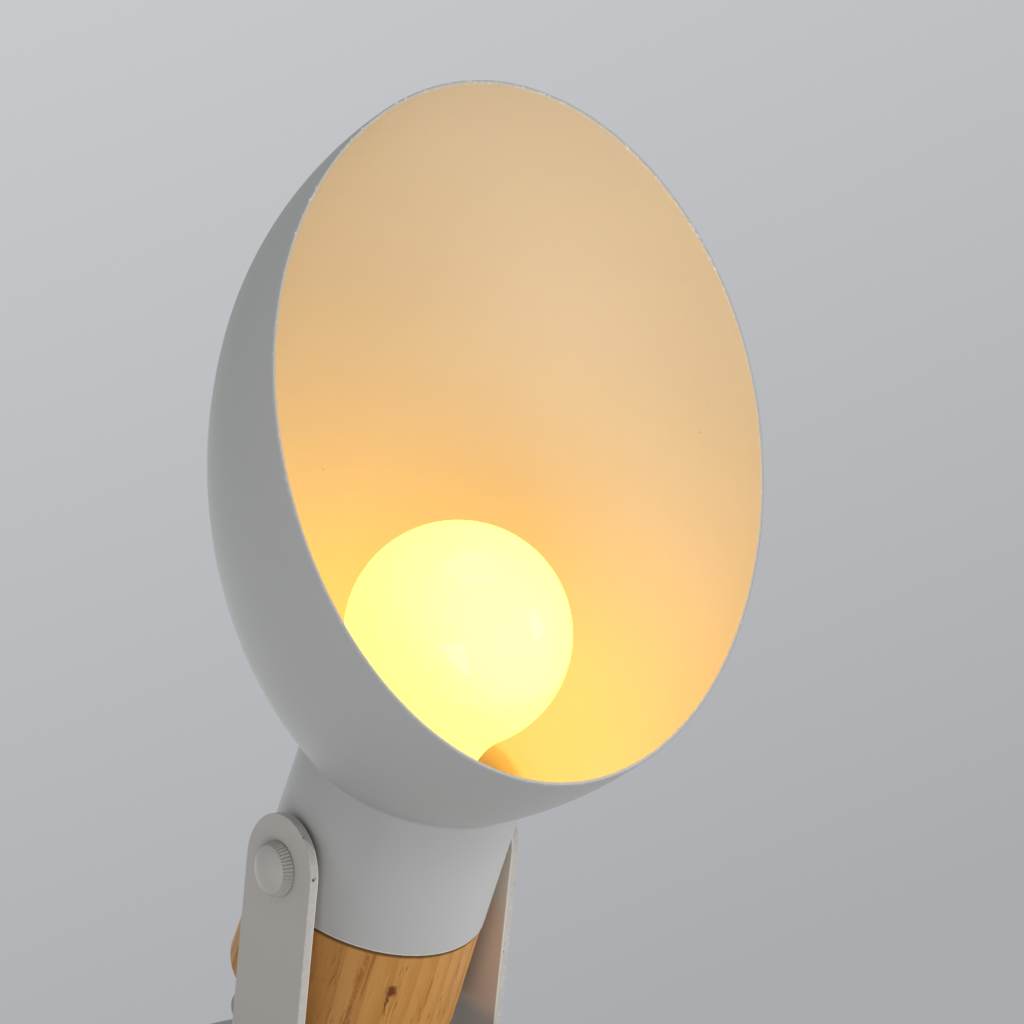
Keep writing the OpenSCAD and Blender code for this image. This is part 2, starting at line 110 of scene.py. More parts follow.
# %% Nodes
class Patterns:
    """The nodes of a material or of the world."""

    def __init__(self, tree):
        self.tree = tree

    def node(self, kind, settings=None, output=0, numbered=None, **named):
        """Makes a node: first its settings, then its sockets, by their numbers or their names."""
        made = self.tree.nodes.new(kind)
        for name, value in (settings or {}).items():
            if name == "stops":
                for element, (position, colour) in zip(made.color_ramp.elements, value):
                    element.position = position
                    element.color = (*colour, 1)
            else:
                setattr(made, name, value)
        for number, value in (numbered or {}).items():
            self.feed(made.inputs[number], value)
        for name, value in named.items():
            self.feed(made.inputs[name.replace("_", " ")], value)
        return Wave(self, made.outputs[output])

    def feed(self, socket, value):
        """Links a pattern to a socket, or sets the socket to a constant."""
        if isinstance(value, Wave):
            self.tree.links.new(value.socket, socket)
        elif socket.type == "RGBA":
            socket.default_value = (*value, 1)
        else:
            socket.default_value = value

    def math(self, operation, *values):
        return self.node("ShaderNodeMath", {"operation": operation}, 0, dict(enumerate(values)))

    def vector(self, operation, *values, output="Vector", **named):
        return self.node("ShaderNodeVectorMath", {"operation": operation}, output,
                         dict(enumerate(values)), **named)

    def mix(self, first, second, share):
        """A colour between two colours: the first where share is 0, the second where it is 1."""
        return self.node("ShaderNodeMix", {"data_type": "RGBA"}, 2, {0: share, 6: first, 7: second})


print("one method makes every node")

# %% Finishes
class Finish(Patterns):
    """A material whose shader is fed by patterns."""

    def __init__(self, name, **constants):
        self.material = bpy.data.materials.new(name)
        self.material.use_nodes = True
        super().__init__(self.material.node_tree)
        self.shader = self.tree.nodes["Principled BSDF"]
        for socket, value in constants.items():
            self.shader.inputs[socket.replace("_", " ")].default_value = value
        coordinates = self.node("ShaderNodeTexCoord", output="Object")
        self.place = self.vector("SCALE", coordinates, Scale=1000)

    def step(self, value, low, high):
        """0 below low, 1 above high, and a soft step between them."""
        return self.node("ShaderNodeMapRange", {"interpolation_type": "SMOOTHSTEP"},
                         Value=value, From_Min=low, From_Max=high)

    def cloud(self, size, at=None, detail=2.0, rough=0.5):
        """Soft noise whose patches are about `size` mm wide, from 0 to 1."""
        return self.node("ShaderNodeTexNoise", Vector=at or self.place, Scale=1 / size,
                         Detail=detail, Roughness=rough)

    def frame_of(self, place, turn):
        """Coordinates in mm that start at `place` and are turned by `turn`."""
        coordinates = self.node("ShaderNodeTexCoord", output="Object")
        mapped = self.node("ShaderNodeMapping", {"vector_type": "TEXTURE"}, Vector=coordinates,
                           Location=place, Rotation=turn)
        return self.vector("SCALE", mapped, Scale=1000)

    def parts(self, at):
        """The x, y and z of a vector, as three numbers."""
        made = self.node("ShaderNodeSeparateXYZ", Vector=at)
        return [Wave(self, out) for out in made.socket.node.outputs]

    def bump(self, height, depth, strength):
        """A relief `depth` mm deep."""
        return self.node("ShaderNodeBump", Height=height, Distance=depth / 1000, Strength=strength)

    def wear(self, **waves):
        """Links patterns to the shader's own sockets."""
        for name, value in waves.items():
            self.feed(self.shader.inputs[name.replace("_", " ")], value)
        return self.material


print("a finish reads the piece's own coordinates in millimetres")

# %% [markdown]
# The lamp hangs on no wall here: it floats over a pale floor in a pale studio, so that it can be
# looked at from every side. The camera, metal and glass see one colour of the world, and the
# light that falls on the lamp has another, so the background can be set apart from the light.

# %% Floor
floor_z = -1.3
floor_r = 30
floor_mesh = bmesh.new()
bmesh.ops.create_circle(floor_mesh, cap_ends=True, segments=96, radius=floor_r,
                        matrix=Matrix.Translation((0, 0, floor_z)))
floor_data = bpy.data.meshes.new("floor")
floor_mesh.to_mesh(floor_data)
floor = bpy.data.objects.new("floor", floor_data)
bpy.context.scene.collection.objects.link(floor)
floor_paint = Finish("floor_paint", Roughness=0.9)
floor_tone = floor_paint.cloud(400)
floor.data.materials.append(floor_paint.wear(
    Base_Color=floor_paint.mix((0.78, 0.785, 0.79), (0.81, 0.815, 0.82), floor_tone)))
print("floor at", floor_z, "m")

# %% Background
world = bpy.data.worlds.new("studio")
bpy.context.scene.world = world
world.use_nodes = True
world_light = world.node_tree.nodes["Background"]
world_light.inputs["Color"].default_value = (0.98, 0.99, 1.0, 1)
world_light.inputs["Strength"].default_value = 0.50

sky = Patterns(world.node_tree)
brighter_side = picture_up * 2.2 - picture_right * 0.9 - towards_camera * 0.45
looking = sky.node("ShaderNodeTexCoord", output="Generated")
slope = sky.vector("DOT_PRODUCT", looking, brighter_side, output="Value")
backdrop_stops = [(0, (0.40, 0.41, 0.425)), (1, (0.575, 0.585, 0.61))]
backdrop = sky.node("ShaderNodeValToRGB", {"stops": backdrop_stops}, Fac=slope)
seen_world = sky.node("ShaderNodeBackground", Color=backdrop)
rays = [sky.node("ShaderNodeLightPath", output=f"Is {kind} Ray")
        for kind in ("Camera", "Transmission", "Glossy")]
sees_backdrop = sky.math("MAXIMUM", sky.math("MAXIMUM", rays[0], rays[1]), rays[2])
lit_world = Wave(sky, world_light.outputs[0])
either_world = sky.node("ShaderNodeMixShader",
                        numbered={0: sees_backdrop, 1: lit_world, 2: seen_world})
sky.feed(world.node_tree.nodes["World Output"].inputs["Surface"], either_world)
bpy.context.scene.view_settings.view_transform = "Standard"
print("nodes of the world:", len(world.node_tree.nodes))

# %% [markdown]
# The light of the studio
#
# Large soft boxes light a matt thing evenly, and small lamps draw its edges. So six boxes stand
# round the lamp, one of them a narrow strip at the side for the glint on the globe. One small
# spot with a tight beam brightens the neck, the cup and the strip's edges, and misses the open
# shade. It is kept out of reflections, where it would leave a white dot on the globe.

# %% Soft boxes
aim_point = Vector((0, -0.12, 0))


def stand(name, data, place, direction):
    """Puts a lamp at a place, with its back turned to a direction."""
    lamp = bpy.data.objects.new(name, data)
    turn_to = direction.to_track_quat("Z", "Y").to_matrix().to_4x4()
    lamp.matrix_world = Matrix.Translation(place) @ turn_to
    bpy.context.scene.collection.objects.link(lamp)
    return lamp


def soft_lamp(name, direction, distance, size, power, depth=None):
    """A soft box that looks at the lamp's middle, square unless it is given a depth."""
    data = bpy.data.lights.new(name, "AREA")
    data.shape = "RECTANGLE"
    data.size = size
    data.size_y = depth or size
    data.energy = power
    stand(name, data, aim_point + direction.normalized() * distance, direction)


soft_lamp("right_box", Vector((1.0, 0.5, -0.02)), distance=1.2, size=0.9, power=1.5)
soft_lamp("front_box", towards_camera - picture_right * 0.12 - picture_up * 0.45,
          distance=1.35, size=0.85, power=6.1)
soft_lamp("left_box", towards_camera * 0.5 - picture_right, distance=1.8, size=1.2, power=2.6)
soft_lamp("top_box", picture_up + towards_camera * 0.3 + picture_right * 0.2,
          distance=1.8, size=1.2, power=4.5)
soft_lamp("back_box", Vector((0.3, 0.6, 1.0)), distance=2.0, size=1.5, power=7.5)
soft_lamp("side_strip", picture_right + picture_up * 0.12 + towards_camera * 0.07,
          distance=1.2, size=0.40, power=0.8, depth=0.28)

# %% Narrow spot
spot_target = Vector((0, -0.060, 0))
spot_way = Vector((0.60, 0.25, -0.76)).normalized()
spot_distance = 1.2
spot_data = bpy.data.lights.new("low_spot", "SPOT")
spot_data.energy = 34
spot_data.shadow_soft_size = 0.03
spot_data.spot_size = math.radians(8.0)
spot_data.spot_blend = 1.0
spot = stand("low_spot", spot_data, spot_target + spot_way * spot_distance, spot_way)
spot.visible_glossy = False
print("spot stands at", [round(v, 3) for v in spot.matrix_world.translation])

# %% [markdown]
# New pieces are drawn in millimetres in the frame that suits them, as on a drawing board, and
# moved to their place at the end. The wall's frame has z pointing out of the wall. The head's
# frame has z along the shade, and its origin on the tilt axis.

# %% Frames
MM = 0.001
axis_out = 77.5
head_tilt = 18
head_turn = math.radians(90 + head_tilt)
to_metres = Matrix.Scale(MM, 4)
wall_frame = to_metres @ Matrix.Rotation(math.radians(90), 4, "X")
head_frame = (to_metres @ Matrix.Translation((0, -axis_out, 0))
              @ Matrix.Rotation(head_turn, 4, "X"))
HEAD = {"place": (0, -axis_out * MM, 0), "turn": (head_turn, 0, 0)}
print("the head tilts about y =", -axis_out, "mm")

# %% Half sections
same_point = 0.001


def line_to(bm, corner, radius, height):
    """Draws a straight line on the half section, from a vertex to a new one."""
    fresh = bmesh.ops.extrude_vert_indiv(bm, verts=[corner])["verts"][0]
    fresh.co = (radius, 0, height)
    return fresh


def arc_to(bm, corner, centre, degrees, steps):
    """Draws an arc on the half section by spinning the vertex about the arc's centre."""
    made = bmesh.ops.spin(bm, geom=[corner], cent=(centre[0], 0, centre[1]), axis=(0, -1, 0),
                          angle=math.radians(degrees), steps=steps)
    return made["geom_last"][0]


def turn(bm, steps):
    """Spins the half section round the z axis, like a piece on a lathe."""
    bmesh.ops.spin(bm, geom=bm.verts[:] + bm.edges[:], cent=(0, 0, 0), axis=(0, 0, 1),
                   angle=math.tau, steps=steps, use_merge=True)
    bmesh.ops.remove_doubles(bm, verts=bm.verts, dist=same_point)
    bmesh.ops.recalc_face_normals(bm, faces=bm.faces)


print("a half section is drawn with lines and arcs, and turned")

# %% Finished pieces
crease_angle = math.radians(40)


def piece(name, bm, finishes, body, stands_for, matrix, flat_faces=False):
    """Ends a piece: moves it to its place, smooths it and lets it ride on its body."""
    bm.transform(matrix)
    for face in bm.faces:
        face.smooth = True
    data = bpy.data.meshes.new(name)
    bm.to_mesh(data)
    bm.free()
    for material in finishes:
        data.materials.append(material)
    data.set_sharp_from_angle(angle=crease_angle)
    made = bpy.data.objects.new(name, data)
    bpy.context.scene.collection.objects.link(made)
    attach(made, body)
    if flat_faces:
        flatten = made.modifiers.new("flat faces stay flat", "WEIGHTED_NORMAL")
        flatten.keep_sharp = True
    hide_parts(*stands_for)
    print(name, "has", len(data.polygons), "faces")


print("edges sharper than", round(math.degrees(crease_angle)), "degrees stay crisp")

# %% [markdown]
# The shade
#
# A metal disc is spun over a former into an egg shape, then cut at a slant. The half section is a
# near-straight neck, a soft corner, a long flank arc and a tighter hood arc. Cutting a turned mesh
# leaves slivers along the cut. So a flat net is wrapped instead: its columns are meridians, and
# its rows are spread on each of them from the neck's foot to the place where it meets the cut.
# The rim and its inner lip take the inside's paint, and show as a thin pale line.

# %% Finish of the shade
cut_slant = math.radians(51.6)
cut_height = 103
cut_normal = Vector((0, -math.sin(cut_slant), math.cos(cut_slant)))
cut_point = Vector((0, 0, cut_height))
chips_start, chips_full = 105, 130
shadow_start, shadow_full = 6, 21
shadow_fades, shadow_end = 22.5, 27
foot_low, foot_high = -7.80, -7.62


def shade_paint(name, colour, warm, lip, nibs):
    """Matt spray paint with fine peel and dust nibs, a pale lip, chips at the cut's far end, a
    painted shade on the neck under the flank, and a pale foot line that is partly painted highlight.
    """
    paint = Finish(name, Specular_IOR_Level=0.4)
    at = paint.frame_of(**HEAD)
    peel = paint.cloud(0.55, at, detail=3)
    broad = paint.cloud(38, at)
    dust = paint.node("ShaderNodeTexVoronoi", Vector=at, Scale=1 / 7.0, output="Distance")
    nib = 1 - paint.step(dust, 0.02, 0.06)
    patch = paint.step(paint.cloud(24, at), 0.62 - nibs, 0.66 - nibs)
    spots = nib * patch
    along_normal = paint.vector("DOT_PRODUCT", at, tuple(cut_normal), output="Value")
    from_cut = along_normal - cut_height * cut_normal.z
    at_cut = paint.step(from_cut + (paint.cloud(1.2, at, detail=3) - 0.5) * 0.3, -0.32, -0.20)
    _, _, height = paint.parts(at)
    far_end = 0.25 + 0.75 * paint.step(height, chips_start, chips_full)
    chipped = at_cut * far_end * paint.step(paint.cloud(0.9, at, detail=3, rough=0.6), 0.56, 0.66)
    tone = paint.mix(colour, warm, broad)
    tone = paint.mix(tone, tuple(0.45 * c for c in colour), spots * 0.55)
    # Painted shade: the neck's top and the corner under the flank are darkened, where the flank
    # shades them.
    corner_shade_fade = 1 - paint.step(height, shadow_fades, shadow_end)
    painted_corner_shade = paint.step(height, shadow_start, shadow_full) * corner_shade_fade
    tone = paint.mix(tone, tuple(0.84 * c for c in colour), painted_corner_shade * 0.5)
    tone = paint.mix(tone, lip, at_cut)
    tone = paint.mix(tone, (0.80, 0.79, 0.76), chipped)
    # The pale line at the neck's foot is partly bare metal on the worn edge and partly a painted
    # highlight.
    uneven = (paint.cloud(3, at) - 0.5) * 0.2
    foot_wear_and_highlight = 1 - paint.step(height + uneven, foot_low, foot_high)
    tone = paint.mix(tone, (0.60, 0.60, 0.57), foot_wear_and_highlight * 0.8)
    relief = paint.bump(peel + spots * 2.5, 0.03, 0.5)
    rough = 0.50 + 0.12 * broad - 0.18 * chipped
    return paint.wear(Base_Color=tone, Roughness=rough, Normal=relief)


outside_paint = shade_paint("shade_outside", colour=(0.374, 0.376, 0.370),
                            warm=(0.358, 0.359, 0.354), lip=(0.39, 0.39, 0.385), nibs=0.0)
# The inside is the same paint as the outside; its lighter, warmer colour and lip are painted light
# from the bulb.
bulb_lit_inside_paint = shade_paint("shade_inside_bulb_lit", colour=(0.585, 0.560, 0.480),
                           warm=(0.570, 0.550, 0.465), lip=(0.64, 0.61, 0.53), nibs=0.08)
print("paints of the shade:", outside_paint.name, bulb_lit_inside_paint.name)

# %% Half section of the shade
shade_wall = 0.7
soft_corner = 1.5
neck_foot = Vector((23.8, -8.0))
neck_end = Vector((23.2, 22.2))
shade_r, shade_mid = 59.67, 101.0
flank_r, hood_r = 102.5, 76.8
flank_centre = Vector((shade_r - flank_r, shade_mid))
hood_centre = Vector((shade_r - hood_r, shade_mid))
neck_along = (neck_end - neck_foot).normalized()
neck_across = Vector((neck_along.y, -neck_along.x))

# The soft corner's centre stands outside, at soft_corner from the neck and from the flank
beside_foot = neck_foot + soft_corner * neck_across
gap = beside_foot - flank_centre
halfway = gap.dot(neck_along)
rise = -halfway - math.sqrt(halfway ** 2 - gap.length_squared + (flank_r + soft_corner) ** 2)
corner_centre = beside_foot + rise * neck_along


def bearing(start, end):
    """Direction from one point of the half section to another, in degrees from +X towards +Z."""
    return math.degrees(math.atan2(end.y - start.y, end.x - start.x))


def round_point(centre, radius, degrees):
    angle = math.radians(degrees)
    return centre + radius * Vector((math.cos(angle), math.sin(angle)))


corner_start = 180 + bearing(Vector((0, 0)), neck_across)
corner_end = bearing(corner_centre, flank_centre)
flank_start = bearing(flank_centre, corner_centre)
print("soft corner at", [round(v, 2) for v in corner_centre])
print("flank starts at", round(flank_start, 1), "degrees")

# %% Points of the shade's walls
around_steps = 192
corner_rows, body_rows = 6, 64
last_row = 1 + corner_rows + body_rows
halvings = 40


def body_point(degrees, inset):
    """A point of the flank below 0 degrees, and of the hood above."""
    if degrees < 0:
        return round_point(flank_centre, flank_r - inset, degrees)
    return round_point(hood_centre, hood_r - inset, degrees)


def on_meridian(point, around):
    return Vector((point.x * math.cos(around), point.x * math.sin(around), point.y))


def cut_bearing(around, inset):
    """Where a meridian meets the slanted cut, found by halving the span again and again."""
    low, high = flank_start, math.degrees(math.acos(-hood_centre.x / (hood_r - inset)))
    for _ in range(halvings):
        middle = (low + high) / 2
        over = (on_meridian(body_point(middle, inset), around) - cut_point).dot(cut_normal)
        low, high = (low, middle) if over > 0 else (middle, high)
    return low


def wall_point(row, inset, end):
    """A point of one wall: row 0 is the neck's foot and last_row is on the cut."""
    if row == 0:
        return neck_foot - inset * Vector((1, 0))
    if row <= corner_rows + 1:
        turned = corner_start + (corner_end - corner_start) * (row - 1) / corner_rows
        return round_point(corner_centre, soft_corner + inset, turned)
    share = (row - 1 - corner_rows) / body_rows
    return body_point(flank_start + (end - flank_start) * share, inset)


def net_point(around, row):
    """Down the outer wall, in again under the neck, up the inner wall and over the rim."""
    if last_row < row <= 2 * last_row + 1:
        return on_meridian(wall_point(row - last_row - 1, shade_wall, inner_end[around]), around)
    down = last_row - row if row <= last_row else last_row
    return on_meridian(wall_point(down, 0, outer_end[around]), around)


def depth_in_wall(point):
    """How deep a point lies under the outer surface of the flank or the hood."""
    section = Vector((math.hypot(point.x, point.y), point.z))
    if section.y < shade_mid:
        return flank_r - (section - flank_centre).length
    return hood_r - (section - hood_centre).length


print("rows on each wall:", last_row + 1)

# %% Net of the shade
rim_rounding = 0.2
inside_from = shade_wall * 0.4
net_rows = 2 * last_row + 2
shell = bmesh.new()
bmesh.ops.create_grid(shell, x_segments=around_steps, y_segments=net_rows, size=0.5)
for face in shell.faces:
    face.material_index = int((face.calc_center_median().y + 0.5) * net_rows > last_row + 1)
meridians = [math.tau * step / around_steps for step in range(around_steps)]
outer_end = {around: cut_bearing(around, 0) for around in meridians}
inner_end = {around: cut_bearing(around, shade_wall) for around in meridians}
for vertex in shell.verts:
    step = round((vertex.co.x + 0.5) * around_steps) % around_steps
    vertex.co = net_point(meridians[step], round((vertex.co.y + 0.5) * net_rows))
bmesh.ops.remove_doubles(shell, verts=shell.verts, dist=same_point / 10)
bmesh.ops.recalc_face_normals(shell, faces=shell.faces)
corners = [e for e in shell.edges if e.calc_face_angle() > crease_angle]
print("open edges:", sum(e.is_boundary for e in shell.edges), "| edges to round:", len(corners))
rounded = bmesh.ops.bevel(shell, geom=corners, offset=rim_rounding, offset_type="OFFSET",
                          affect="EDGES", segments=2, profile=0.5, material=-1, clamp_overlap=True)
for face in rounded["faces"]:
    middle = face.calc_center_median()
    face.material_index = int(middle.z > 0 and depth_in_wall(middle) > inside_from)
piece("spun_shade", shell, [outside_paint, bulb_lit_inside_paint], "head", ["shade"],
      head_frame)

# %% [markdown]
# The wooden cup
#
# It is turned from one block of pale wood with the grain along the lamp's axis, so the growth
# rings show as long streaks on its flank. Rings round a far-off heart, bent a little by noise,
# give the broad bands. Noise that is stretched along the grain gives the fibres and the thin
# dark pores, and one small knot with a split sits on the lower side.

# %% Grain of the wood
heart_away = (38, 22, 0)
ring_width = 4.3


def stretched(wood, at, width, length, **settings):
    """Noise in streaks along the grain, about `width` mm wide and `length` mm long."""
    return wood.cloud(width, wood.vector("MULTIPLY", at, (1, 1, width / length)), **settings)


def wander(wood, at, size, detail, reach):
    """A vector that drifts from place to place, by up to half of `reach` mm along each axis."""
    drift = wood.node("ShaderNodeTexNoise", Vector=at, Scale=1 / size, Detail=detail, output="Color")
    return wood.vector("SCALE", wood.vector("SUBTRACT", drift, (0.5, 0.5, 0.5)), Scale=reach)


def length_of(wood, at):
    return wood.vector("LENGTH", at, output="Value")


def wood_finish():
    """Growth rings, fibres, dark lines and pores, and then the knot."""
    wood = Finish("pale_wood", Specular_IOR_Level=0.22)
    at = wood.frame_of(**HEAD)
    along = wood.vector("MULTIPLY", at, (1, 1, 0.05))
    bent = wood.vector("ADD", along, wander(wood, along, size=9, detail=2.0, reach=5.0))
    from_heart = length_of(wood, wood.vector("ADD", bent, heart_away))
    ring = wood.math("FRACT", from_heart / ring_width)
    late = wood.step(ring, 0.35, 0.92) * (1 - wood.step(ring, 0.93, 1.0))
    fibre = stretched(wood, at, width=0.40, length=12, detail=4, rough=0.65)
    streak = stretched(wood, at, width=1.1, length=30, detail=3, rough=0.6)
    line = stretched(wood, at, width=0.7, length=26, detail=1)
    thin_line = 1 - wood.step(wood.math("ABSOLUTE", line - 0.5), 0.004, 0.022)
    here_and_there = wood.step(stretched(wood, at, width=4, length=16), 0.50, 0.62)
    pore = wood.step(stretched(wood, at, width=0.32, length=4, detail=2), 0.66, 0.76)
    blush = wood.step(stretched(wood, at, width=5, length=25), 0.55, 0.75)
    tone = wood.mix((0.420, 0.205, 0.055), (0.340, 0.150, 0.034), late * 0.7)
    tone = wood.mix(tone, (0.485, 0.258, 0.080), wood.step(fibre, 0.5, 0.75) * 0.55)
    tone = wood.mix(tone, (0.25, 0.090, 0.020), wood.step(streak, 0.58, 0.70) * 0.65)
    tone = wood.mix(tone, (0.40, 0.165, 0.045), blush * 0.4)
    tone = wood.mix(tone, (0.20, 0.062, 0.014), thin_line * here_and_there * 0.85)
    tone = wood.mix(tone, (0.16, 0.052, 0.012), pore * 0.5)
    return finish_with_knot(wood, at, tone, fibre, pore, late, here_and_there)


print("growth rings", ring_width, "mm apart, round a heart", heart_away, "mm away")

# %% Knot of the wood
knot_place = (-7.9, -22.5, -17.0)
curl_place = (-3.2, -23.7, -12.7)
streak_place = (-14.1, -19.15, -16)
neck_shadow_low, neck_shadow_high = -9.1, -7.6


def near(wood, at, place, drift, squeeze):
    """Distance from a place, a little uneven, and squeezed along each axis."""
    away = wood.vector("ADD", wood.vector("SUBTRACT", at, place), drift)
    return length_of(wood, wood.vector("MULTIPLY", away, squeeze))


def finish_with_knot(wood, at, tone, fibre, pore, late, here_and_there):
    """Adds the knot, its split, a curl, a long streak and a painted shadow under the shade's neck.
    """
    drift = wander(wood, at, size=1 / 0.9, detail=3.0, reach=1.5)
    spot = near(wood, at, knot_place, drift, (0.72, 0.5, 0.46))
    core = 1 - wood.step(spot, 0.40, 0.90)
    halo = 1 - wood.step(spot, 0.5, 2.0)
    split_drift = wood.vector("ADD", drift, (0.3, 0, 3.0))
    split = 1 - wood.step(near(wood, at, knot_place, split_drift, (1.9, 0.5, 0.24)), 0.30, 0.85)
    curl = near(wood, at, curl_place, drift, (0.9, 0.5, 0.7))
    curl_line = here_and_there * (1 - wood.step(wood.math("ABSOLUTE", curl - 0.9), 0.10, 0.45))
    long_streak = 1 - wood.step(near(wood, at, streak_place, drift, (1.0, 1.0, 0.02)), 0.15, 0.75)
    dark = wood.math("MAXIMUM", core, split * 0.85)
    tone = wood.mix(tone, (0.21, 0.075, 0.018), curl_line * 0.6)
    tone = wood.mix(tone, (0.22, 0.070, 0.016), long_streak * 0.65)
    tone = wood.mix(tone, (0.33, 0.13, 0.035), halo * 0.30)
    tone = wood.mix(tone, (0.11, 0.024, 0.008), dark * 0.95)
    _, _, height = wood.parts(at)
    # Painted shadow: a dark band on the wood just under the neck's foot, where the neck shades the
    # gap.
    ragged = height + (fibre - 0.5) * 0.5
    neck_shadow_from = wood.step(ragged, neck_shadow_low, neck_shadow_low + 0.55)
    painted_neck_shadow = neck_shadow_from * (1 - wood.step(height, neck_shadow_high - 0.4, neck_shadow_high))
    tone = wood.mix(tone, (0.10, 0.052, 0.018), painted_neck_shadow * 0.85)
    relief = wood.bump(fibre * 0.6 - pore - core, 0.04, 0.5)
    rough = 0.52 + 0.12 * late + 0.08 * fibre
    return wood.wear(Base_Color=tone, Roughness=rough, Normal=relief)


frame["nodes"]["wood_cup"].data.materials[0] = wood_finish()
print("wood on", frame["nodes"]["wood_cup"].name)

# %% [markdown]
# Paint of the bracket and canopy
#
# The strip is sprayed in a warmer off-white than the shade. It is satin, has the faint peel of
# sprayed paint, and along its edges the paint is thin: light where it is rubbed, with a few
# small dark chips, and a painted highlight runs along the inner edge. The edges get their own
# material, so that the wear stays on them. The inside of the arms faces the wood, and is painted
# a little warmer for the light that the wood casts back on it.

# %% Finish of the bracket
arm_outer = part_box("u_bracket")[1].x / MM
strip_thick = 2
arm_inner = arm_outer - strip_thick
arm_start, arm_full = -40, -44
deep_chip_place = (-25.9, -78.5, -11.0)


def bracket_paint(name, at_edge):
    """Satin spray paint, rubbed and chipped at the strip's edges, with a painted highlight along the
    inner edge, and painted warm light from the wood inside the arms.
    """
    paint = Finish(name, Specular_IOR_Level=0.45)
    peel = paint.cloud(0.7, detail=3)
    broad = paint.cloud(30)
    across, out, _ = paint.parts(paint.place)
    across = paint.math("ABSOLUTE", across)
    past_bend = 1 - paint.step(out, arm_full, arm_start)
    on_arm = past_bend * paint.step(across, arm_inner - 1.0, arm_inner - 0.3)
    tone = paint.mix((0.380, 0.360, 0.335), (0.402, 0.382, 0.355), broad)
    if at_edge:
        rub = paint.step(paint.cloud(1.1, detail=3), 0.40, 0.70)
        from_inside = across + rub * 0.2 - arm_inner
        # Painted highlight: a cream line along the strip's edge next to the inner face.
        painted_edge_highlight = on_arm * (1 - paint.step(from_inside, 0.25, 0.5))
        chip = paint.step(paint.cloud(0.9, detail=2), 0.715, 0.74)
        to_chip = paint.vector("SUBTRACT", paint.place, deep_chip_place)
        deep_chip = 1 - paint.step(paint.vector("LENGTH", to_chip, output="Value"), 0.25, 0.40)
        tone = paint.mix(tone, (0.50, 0.485, 0.455), rub * 0.45)
        tone = paint.mix(tone, (0.66, 0.62, 0.52), painted_edge_highlight * 0.6)
        tone = paint.mix(tone, (0.05, 0.045, 0.04), paint.math("MAXIMUM", chip, deep_chip))
    else:
        grime = paint.step(paint.cloud(14, detail=4), 0.55, 0.8)
        # Painted reflected light: the arms' inner faces are tinted warm, as if lit by light bounced
        # off the wood.
        painted_wood_bounce = on_arm * (1 - paint.step(across, arm_inner, arm_inner + 0.15))
        tone = paint.mix(tone, (0.33, 0.31, 0.285), grime * 0.35)
        tone = paint.mix(tone, (0.64, 0.52, 0.43), painted_wood_bounce * 0.8)
    rough = 0.42 + 0.14 * broad
    return paint.wear(Base_Color=tone, Roughness=rough, Normal=paint.bump(peel, 0.02, 0.35))


bracket_face = bracket_paint("bracket_paint", False)
bracket_edge = bracket_paint("bracket_edge", True)
print("arms from", round(arm_inner, 2), "to", round(arm_outer, 2), "mm off the middle")

# %% [markdown]
# Rounded edges
#
# No edge of a pressed or moulded piece is quite sharp, and a thin line of light along it shows
# that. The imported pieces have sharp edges, so a copy of each gets its loose triangles joined and
# its edges bevelled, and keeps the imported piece's size. The roundings take the worn paint.

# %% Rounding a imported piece
flat_below = math.radians(0.5)
rounded_above = math.radians(35)


def merged_copy(node):
    """A CAD piece's mesh in mm, with its loose triangles joined and flat areas made whole."""
    bm = bmesh.new()
    bm.from_mesh(frame["nodes"][node].data)
    bm.transform(Matrix.Scale(1 / MM, 4))
    bmesh.ops.remove_doubles(bm, verts=bm.verts, dist=same_point / 2)
    bmesh.ops.dissolve_limit(bm, angle_limit=flat_below, verts=bm.verts, edges=bm.edges)
    return bm


def eased(node, name, finishes, body, width, narrow_side=None):
    """A CAD piece with its edges rounded, and the roundings in its last finish."""
    bm = merged_copy(node)
    sharp = [e for e in bm.edges if e.is_manifold and e.calc_face_angle() > rounded_above]
    made = bmesh.ops.bevel(bm, geom=sharp, offset=width, offset_type="OFFSET", affect="EDGES",
                           segments=2, profile=0.5, material=-1, clamp_overlap=True)
    for face in made["faces"]:
        face.material_index = len(finishes) - 1
    for face in bm.faces:
        if narrow_side and narrow_side(face):
            face.material_index = 1
    piece(name, bm, finishes, body, [node], to_metres, flat_faces=True)


print("edges sharper than", round(math.degrees(rounded_above)), "degrees are rounded")

# %% Painted pieces
def strip_side(face):
    """Tells whether a face belongs to the strip's narrow sides, round the arms' ends too."""
    beyond_axis = face.calc_center_median().y < -axis_out
    return abs(face.normal.x) < 0.5 and (abs(face.normal.z) > 0.3 or beyond_axis)


painted = [bracket_face, bracket_edge]
eased("u_bracket", "painted_bracket", painted, "bracket", width=0.3,
      narrow_side=strip_side)
eased("canopy", "painted_canopy", painted, "wall_base", width=0.2)
eased("swivel_nut", "painted_swivel_nut", painted, "wall_base", width=0.2)

# %% [markdown]
# The thumb nuts
#
# Each nut is a low dome with a straight knurl round its flank. The half section is turned in many
# small steps, and then every vertex moves in by a wave that repeats once a ridge. The wave fades
# out at the foot and where the dome begins, as it does where a knurling wheel stops.

# %% Half section of a thumb nut
nut_r, nut_height = 5.7, 3.7
foot_round = 0.25
band_low, band_high = 0.5, 2.1
shoulder_r = nut_r - 0.7
bore_r, bore_depth = 2.56, 2.6


def round_between(bm, corner, end_r, end_z, centre_z, steps):
    """Draws an arc about a point on the z axis, from a vertex to a given corner."""
    start = math.atan2(corner.co.z - centre_z, corner.co.x)
    end = math.atan2(end_z - centre_z, end_r)
    return arc_to(bm, corner, (0, centre_z), math.degrees(end - start), steps)


